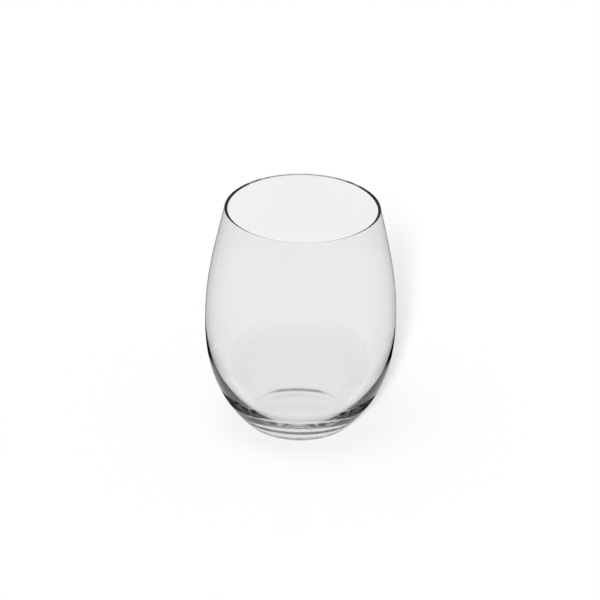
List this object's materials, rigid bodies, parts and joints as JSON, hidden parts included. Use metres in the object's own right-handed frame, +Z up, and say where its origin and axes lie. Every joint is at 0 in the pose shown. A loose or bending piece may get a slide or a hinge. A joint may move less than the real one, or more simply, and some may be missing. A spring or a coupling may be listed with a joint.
{
  "type": "stemless wine glass",
  "caption": "Clear egg-shaped stemless wine glass, open at a drawn-in rim and standing on a thick hollowed foot; it holds a drink.",
  "frame": {"origin": "centre of the foot, on the plane that the glass stands on", "axes": "+Z up along the glass's axis of revolution, from the foot to the mouth; +X and +Y are any two level directions"},
  "size_m": [0.089, 0.089, 0.11],
  "materials": {
    "clear_glass": "clear, fire-polished, smooth"
  },
  "bodies": {
    "root": {"glass_bowl": "clear_glass"}
  },
  "joints": []
}
